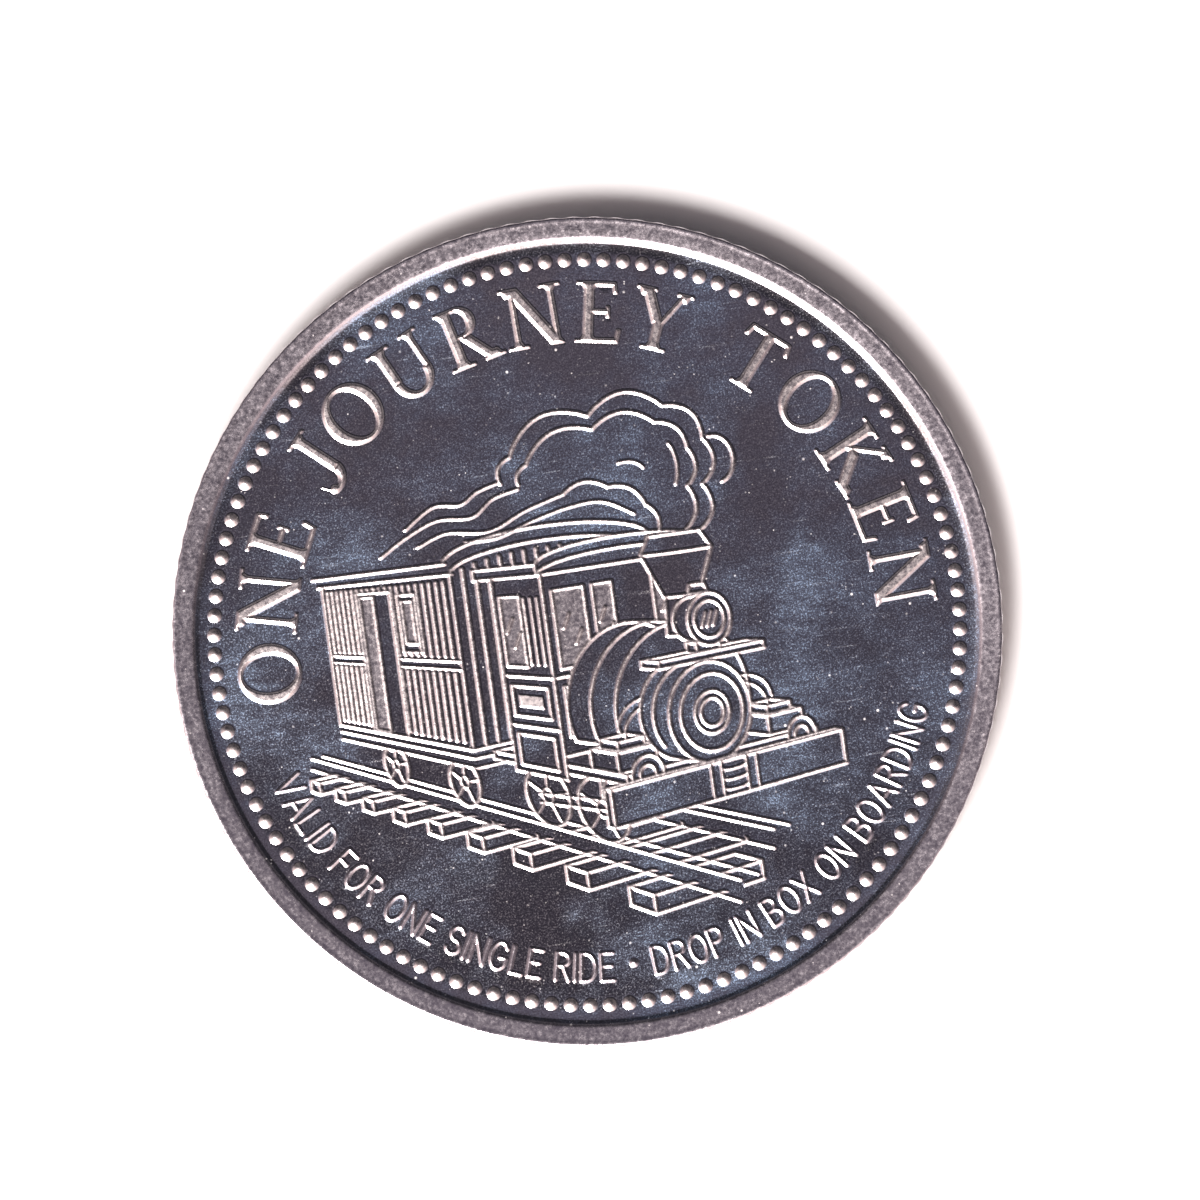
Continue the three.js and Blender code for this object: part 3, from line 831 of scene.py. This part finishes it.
def face_patches(sizes):
    """The patches as rings of grid points, each with every corner of its smaller neighbours on its sides."""
    count = sizes.shape[0]
    used = np.zeros((count + 1, count + 1), bool)
    starts = {}
    for size in LEAVES:
        rows, columns = starts[size] = [found * size for found in np.nonzero(sizes[::size, ::size] == size)]
        for di, dj in corners_of((0, size), (0, size)):
            used[rows + di, columns + dj] = True
    rings = []
    for size, (rows, columns) in starts.items():
        di, dj = square_ring(size)
        ring_i, ring_j = rows[:, None] + di, columns[:, None] + dj
        for patch_i, patch_j, keep in zip(ring_i, ring_j, used[ring_i, ring_j]):
            rings.append((patch_i[keep], patch_j[keep]))
    return used, rings


def border_ring(used):
    """The used points on the border of the grid, counter-clockwise from its lower right corner."""
    count = used.shape[0] - 1
    i, j = (np.roll(steps, -count) for steps in square_ring(count))
    keep = used[i, j]
    return i[keep], j[keep]


def build_token_mesh(front, back):
    unit_x, unit_y = square_to_disc(GRID)
    x, y = unit_x * RIM_OUTER, unit_y * RIM_OUTER
    vertices, frosts, reed_shades, faces, borders = [], [], [], [], []
    total = 0
    for die, side in ((front, 1), (back, -1)):
        height, frost = die.sample(side * x, y)
        sizes = leaf_sizes(height, frost)
        used, rings = face_patches(sizes)
        number = np.full(used.shape, -1)
        number[used] = total + np.arange(used.sum())
        total += int(used.sum())
        surface = THICKNESS - FIELD_DEPTH + height if side == 1 else FIELD_DEPTH - height
        vertices.append(np.column_stack([x[used], y[used], surface[used]]))
        frosts.append(frost[used])
        reed_shades.append(np.zeros(used.sum()))
        faces += [number[ring_i, ring_j][::side].tolist() for ring_i, ring_j in rings]
        ring_i, ring_j = border_ring(used)
        borders.append(number[ring_i, ring_j])
        angles = np.arctan2(y[ring_i, ring_j], x[ring_i, ring_j])

    # Rows of the edge, from the front rim to the back rim: inset from the full radius, height, reeding.
    reeds = reed_depth(angles)
    rows = [(inset, THICKNESS - drop, reeding) for inset, drop, reeding in EDGE_PROFILE]
    rows += [(0.0, THICKNESS / 2, 1.0)] + list(reversed(EDGE_PROFILE))
    previous = borders[0]
    for inset, z, reeding in rows:
        radius = TOKEN_RADIUS - inset - reeding * reeds
        heights = np.full(len(angles), z)
        vertices.append(np.column_stack([radius * np.cos(angles), radius * np.sin(angles), heights]))
        frosts.append(np.full(len(angles), EDGE_FROST))
        # Painted shade on the edge rows: it fades in below the rim and is darkest down in the reed valleys.
        reed_shades.append(reeding * (0.4 + 0.6 * reeds / REED_DEPTH))
        current = total + np.arange(len(angles))
        total += len(angles)
        faces.extend(strip(previous, current))
        previous = current
    faces.extend(strip(previous, borders[1]))

    mesh = bpy.data.meshes.new("token_body")
    mesh.from_pydata((np.concatenate(vertices) * MM).tolist(), [], faces)
    mesh.validate()
    for name, values in (("frost", frosts), ("reed_shade", reed_shades)):
        mesh.attributes.new(name, "FLOAT", "POINT").data.foreach_set("value", np.concatenate(values))
    mesh.shade_smooth()
    return mesh


def reed_depth(angles):
    """Broad rounded crests with narrower valleys between them."""
    phase = (angles / (2 * math.pi) * REED_COUNT) % 1.0
    wave = 0.5 - 0.5 * np.cos(2 * math.pi * phase)
    return REED_DEPTH * wave**1.6


def strip(upper, lower):
    """Four-sided faces between two rings of points that run the same way."""
    after = np.roll(upper, -1), np.roll(lower, -1)
    return np.column_stack([upper, lower, after[1], after[0]]).tolist()


# ---- materials ----
class Nodes:
    """Short names for building the node tree of a material or a world."""

    def __init__(self, owner):
        owner.use_nodes = True
        self.tree = owner.node_tree
        self.tree.nodes.clear()

    def add(self, kind, inputs=(), **values):
        """A new node, with its inputs by name or number and its settings."""
        node = self.tree.nodes.new("ShaderNode" + kind)
        for key, value in values.items():
            setattr(node, key, value)
        for key, value in dict(inputs).items():
            self.link(value, node.inputs[key])
        return node

    def link(self, source, target):
        """Feeds an input from an output, a number or a colour."""
        if isinstance(source, (int, float)):
            target.default_value = source
        elif isinstance(source, tuple):
            target.default_value = (*source, 1)
        else:
            self.tree.links.new(source, target)

    def math(self, operation, a, b=0.0, c=0.0, clamp=False):
        return self.add("Math", {0: a, 1: b, 2: c}, operation=operation, use_clamp=clamp).outputs[0]

    def times(self, a, b):
        return self.math("MULTIPLY", a, b)

    def plus(self, a, b):
        return self.math("ADD", a, b)

    def ramp(self, value, low, high, to_low=0.0, to_high=1.0, kind="LINEAR"):
        """Maps low..high to to_low..to_high and holds the ends."""
        inputs = {"Value": value, "From Min": low, "From Max": high, "To Min": to_low, "To Max": to_high}
        return self.add("MapRange", inputs, interpolation_type=kind).outputs["Result"]

    def fade(self, value, low, high):
        """0 below low, 1 above high, and a soft step between."""
        return self.ramp(value, low, high, kind="SMOOTHSTEP")

    def blend(self, factor, a, b):
        return self.add("Mix", {"Factor": factor, 6: a, 7: b}, data_type="RGBA").outputs[2]

    def place(self, scale=(1, 1, 1), turn=0.0):
        mapping = self.add("Mapping", {"Vector": self.add("TexCoord").outputs["Object"]})
        mapping.inputs["Scale"].default_value = scale
        mapping.inputs["Rotation"].default_value = (0, 0, turn)
        return mapping.outputs["Vector"]

    def noise(self, scale, detail=2.0, roughness=0.5, vector=None):
        inputs = {"Scale": scale, "Detail": detail, "Roughness": roughness, "Vector": vector or self.place()}
        return self.add("TexNoise", inputs).outputs["Fac"]

    def specks(self, scale, radius):
        """1 in small dots scattered at random, 0 elsewhere. radius is a share of the spacing."""
        node = self.add("TexVoronoi", {"Scale": scale, "Vector": self.place()}, feature="F1")
        return self.ramp(node.outputs["Distance"], radius, radius * 0.4)


def new_surface(name):
    """A material with one shader, its tree and that shader's inputs."""
    material = bpy.data.materials.new(name)
    n = Nodes(material)
    shader = n.add("BsdfPrincipled")
    n.add("OutputMaterial", {"Surface": shader.outputs[0]})
    return material, n, shader.inputs


POLISHED_LIGHT, POLISHED_DARK = (0.70, 0.645, 0.66), (0.62, 0.61, 0.65)
POLISHED_STAIN = (0.44, 0.42, 0.45)
BLUE_HAZE = (0.53, 0.70, 0.98)
GRAIN_PIT = (0.30, 0.275, 0.29)
SATIN_LOW, SATIN_HIGH = (0.72, 0.63, 0.63), (0.86, 0.765, 0.745)
RIM_LOW, RIM_HIGH = (0.62, 0.555, 0.60), (0.73, 0.655, 0.695)
SATIN_PIT = (0.42, 0.375, 0.40)
DUST = (0.9, 0.85, 0.83)
# Painted shade on the reeded edge: a dark grey on the reed crests, and darker still down in the valleys.
REED_CREST_SHADE, REED_VALLEY_SHADE = (0.43, 0.437, 0.43), (0.14, 0.137, 0.133)
MIRROR_ROUGHNESS = 0.08
BUMP_DEPTH = 0.006


def hairline_scratches(n):
    """Fine scratches in four directions, each in patches of its own."""
    scratches = None
    for turn, stretch in ((0.35, 1), (1.3, 0.7), (2.1, 1.2), (2.9, 0.85)):
        fine = n.ramp(n.noise(8000 * stretch, 1, 0.5, n.place((0.05, 1, 1), turn)), 0.7, 0.8)
        patches = n.ramp(n.noise(500 * stretch, 2, 0.5, n.place((1, 1, 1), turn)), 0.5, 0.6)
        fine = n.times(fine, patches)
        scratches = fine if scratches is None else n.math("MAXIMUM", scratches, fine)
    return scratches


def struck_nickel():
    """Polished nickel where frost is 0 and satin where it is 1, with haze, hairlines, grain, specks and
    painted shade on the reeded edge.
    """
    material, n, surface = new_surface("struck_nickel")
    frost = n.add("Attribute", attribute_name="frost").outputs["Fac"]
    sheen = n.ramp(frost, 0.0, 0.8)
    coarse = n.ramp(frost, 0.84, 1.0)
    rim = n.ramp(frost, 0.88, 0.8)
    toning = n.noise(150, 3, 0.55)
    haze = n.ramp(n.noise(190, 5, 0.62), 0.42, 0.64)
    streaks = n.ramp(n.noise(2600, 4, 0.7, n.place((0.3, 1, 1), 0.4)), 0.35, 0.7)
    grain = n.noise(15000, 3, 0.65)
    sand = n.noise(34000, 2, 0.6)
    mottle = n.noise(4200, 4, 0.65)
    pits = n.noise(7000, 4, 0.75)
    hairlines = hairline_scratches(n)
    dust = n.times(n.specks(1500, 0.11), n.ramp(n.noise(800, 2), 0.53, 0.64))
    lint = n.times(n.specks(5200, 0.24), n.ramp(n.noise(1700, 4, 0.7), 0.54, 0.68))
    dots = n.math("MAXIMUM", dust, n.times(lint, 0.8))

    polish = n.plus(MIRROR_ROUGHNESS, n.times(haze, n.math("MULTIPLY_ADD", streaks, 0.08, 0.065)))
    polish = n.plus(polish, n.times(hairlines, 0.12))
    polish = n.plus(polish, n.ramp(grain, 0.5, 0.72, 0.0, 0.155))
    satin = n.plus(n.ramp(mottle, 0.35, 0.65, 0.15, 0.225), n.ramp(pits, 0.38, 0.66, 0.0, 0.085))
    satin = n.plus(satin, n.times(coarse, 0.16))
    roughness = n.plus(n.times(polish, n.math("SUBTRACT", 1.0, sheen)), n.times(satin, sheen))
    n.link(n.math("MAXIMUM", roughness, n.times(dots, 0.6), clamp=True), surface["Roughness"])

    polished = n.blend(n.ramp(toning, 0.35, 0.65), POLISHED_LIGHT, POLISHED_DARK)
    polished = n.blend(n.ramp(mottle, 0.34, 0.62, 0.5, 0.0), polished, POLISHED_STAIN)
    polished = n.blend(n.times(haze, n.ramp(streaks, 0.0, 1.0, 0.5, 1.0)), polished, BLUE_HAZE)
    polished = n.blend(n.ramp(grain, 0.38, 0.62, 0.75, 0.0), polished, GRAIN_PIT)
    shade = n.ramp(mottle, 0.3, 0.7)
    frosted = n.blend(rim, n.blend(shade, SATIN_LOW, SATIN_HIGH), n.blend(shade, RIM_LOW, RIM_HIGH))
    holes = n.times(n.ramp(pits, 0.38, 0.56, 0.6, 0.0), n.math("MULTIPLY_ADD", rim, -0.45, 1.0))
    frosted = n.blend(holes, frosted, SATIN_PIT)
    colour = n.blend(sheen, polished, frosted)
    colour = n.blend(n.times(dots, 0.85), colour, DUST)
    # Painted shade on the reeded edge, deepest in the reed valleys and broken up in random patches.
    reed_shade = n.add("Attribute", attribute_name="reed_shade").outputs["Fac"]
    reed_shade = n.times(reed_shade, n.ramp(n.noise(1300, 4, 0.65), 0.3, 0.65, 0.55, 1.0))
    edge = n.blend(n.ramp(reed_shade, 0.3, 1.0), REED_CREST_SHADE, REED_VALLEY_SHADE)
    n.link(n.blend(n.ramp(reed_shade, 0.0, 0.2), colour, edge), surface["Base Color"])
    n.link(n.math("SUBTRACT", 1.0, n.times(dots, 0.8)), surface["Metallic"])

    relief = n.times(sand, n.ramp(frost, 0.2, 1.0, 0.06, 0.8))
    relief = n.math("SUBTRACT", relief, n.times(hairlines, 0.12))
    relief = n.plus(relief, n.times(dots, 0.5))
    bump = n.add("Bump", {"Strength": 0.5, "Distance": BUMP_DEPTH * MM, "Height": relief})
    n.link(bump.outputs["Normal"], surface["Normal"])
    return material


def pale_paper():
    material, n, surface = new_surface("pale_floor")
    tone = n.blend(n.ramp(n.noise(60, 3), 0.3, 0.7), (0.86, 0.83, 0.842), (0.9, 0.87, 0.882))
    n.link(tone, surface["Base Color"])
    n.link(0.8, surface["Roughness"])
    return material


# ---- the piece ----
def add_object(name, data):
    item = bpy.data.objects.new(name, data)
    bpy.context.scene.collection.objects.link(item)
    return item


token = add_object("token_body", build_token_mesh(front_die(), back_die()))
token.data.materials.append(struck_nickel())
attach(token, "root")
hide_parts("struck_token")

# ---- floor, light and camera ----
# The picture's up direction is turned from the design's, so the token lies slightly askew.
ROLL = math.radians(8)
VIEW_UP = Vector((math.sin(ROLL), math.cos(ROLL), 0))
VIEW_RIGHT = Vector((math.cos(ROLL), -math.sin(ROLL), 0))
TOP = Vector((0, 0, THICKNESS * MM))

# The room: each span is the pair of direction values between which one tone turns into the next.
KEY_AZIMUTH = math.radians(18)
KEY_WAY = -VIEW_UP * math.cos(KEY_AZIMUTH) - VIEW_RIGHT * math.sin(KEY_AZIMUTH)
KEY_SPREAD = (0.15, 0.9)
KEY_CEILING = (0.99, 0.84)
CEILING_SPAN = (-0.06, 0.12)
CEILING_EDGE = (0.998, 0.945)
WALL_SPAN = (-0.5, 0.5)
DARK_WALL_SPAN = (0.6, 0.4)
HORIZON_EDGE = (0.13, 0.09)
KEY_COLOUR = (2.4, 2.04, 1.9)
CEILING_NEAR = (0.034, 0.034, 0.049)
CEILING_FAR = (0.2, 0.178, 0.225)
WALL_FAR = (0.035, 0.034, 0.042)
WALL_FAR_LOW = (0.15, 0.145, 0.155)
WALL_NEAR = (0.44, 0.37, 0.395)
HORIZON = (0.75, 0.705, 0.69)


def make_floor():
    extent = (-1.5, 1.5)
    mesh = bpy.data.meshes.new("floor")
    mesh.from_pydata([(x, y, 0) for x, y in corners_of(extent, extent)], [], [(0, 1, 2, 3)])
    mesh.materials.append(pale_paper())
    floor = add_object("floor", mesh)
    floor.location.z = -0.00002


def make_key_light():
    """A soft panel on the picture's lower left side, which faces the token."""
    data = bpy.data.lights.new("key_panel", "AREA")
    data.shape = "RECTANGLE"
    data.size, data.size_y = 0.12, 0.1
    data.energy = 1.5
    data.color = (1.0, 0.985, 0.96)
    lamp = add_object("key_panel", data)
    rise = math.radians(61)
    azimuth = math.radians(30)
    level = -VIEW_UP * math.cos(azimuth) - VIEW_RIGHT * math.sin(azimuth)
    away = level * math.cos(rise) + Vector((0, 0, math.sin(rise)))
    lamp.location = TOP + away * 0.34
    lamp.rotation_mode = "QUATERNION"
    lamp.rotation_quaternion = away.to_track_quat("Z", "Y")
    lamp.visible_camera = False


def make_world():
    """Soft light from one side: a dim violet-grey ceiling, a wide bright wall on the key's side, a dark wall
    across from it and a pale band along the horizon."""
    world = bpy.data.worlds.new("studio")
    bpy.context.scene.world = world
    n = Nodes(world)
    way = n.add("TexCoord").outputs["Generated"]
    up = n.add("SeparateXYZ", {0: way}).outputs["Z"]

    def along(direction):
        node = n.add("VectorMath", {0: way}, operation="DOT_PRODUCT")
        node.inputs[1].default_value = direction
        return node.outputs["Value"]

    level = n.math("SQRT", n.math("SUBTRACT", 1.0, n.times(up, up)))
    heading = n.math("DIVIDE", along(KEY_WAY), n.math("MAXIMUM", level, 0.001))
    key = n.times(n.fade(heading, *KEY_SPREAD), n.fade(up, *KEY_CEILING))
    ceiling = n.blend(n.fade(along(VIEW_UP), *CEILING_SPAN), CEILING_NEAR, CEILING_FAR)
    dark = n.blend(n.fade(up, *DARK_WALL_SPAN), WALL_FAR, WALL_FAR_LOW)
    walls = n.blend(n.fade(heading, *WALL_SPAN), dark, WALL_NEAR)
    room = n.blend(n.ramp(up, *CEILING_EDGE), ceiling, walls)
    colour = n.blend(n.fade(up, *HORIZON_EDGE), n.blend(key, room, KEY_COLOUR), HORIZON)
    background = n.add("Background", {"Color": colour})
    n.add("OutputWorld", {0: background.outputs[0]})


def make_camera():
    frame_width = 47.6 * MM
    lens, sensor = 300, 36
    distance = frame_width * lens / sensor
    data = bpy.data.cameras.new("camera")
    data.lens, data.sensor_width = lens, sensor
    data.clip_start, data.clip_end = 0.01, 10
    camera = add_object("camera", data)
    tilt = math.radians(1.5)
    target = TOP + VIEW_RIGHT * 0.50 * MM + VIEW_UP * 1.25 * MM
    away = Vector((0, 0, math.cos(tilt))) - VIEW_UP * math.sin(tilt)
    camera.location = target + away * distance
    up = VIEW_UP * math.cos(tilt) + Vector((0, 0, math.sin(tilt)))
    right = up.cross(away)
    camera.rotation_mode = "QUATERNION"
    camera.rotation_quaternion = Matrix((right, up, away)).transposed().to_quaternion()
    bpy.context.scene.camera = camera


make_floor()
make_key_light()
make_world()
make_camera()
bpy.context.scene.view_settings.view_transform = "Standard"
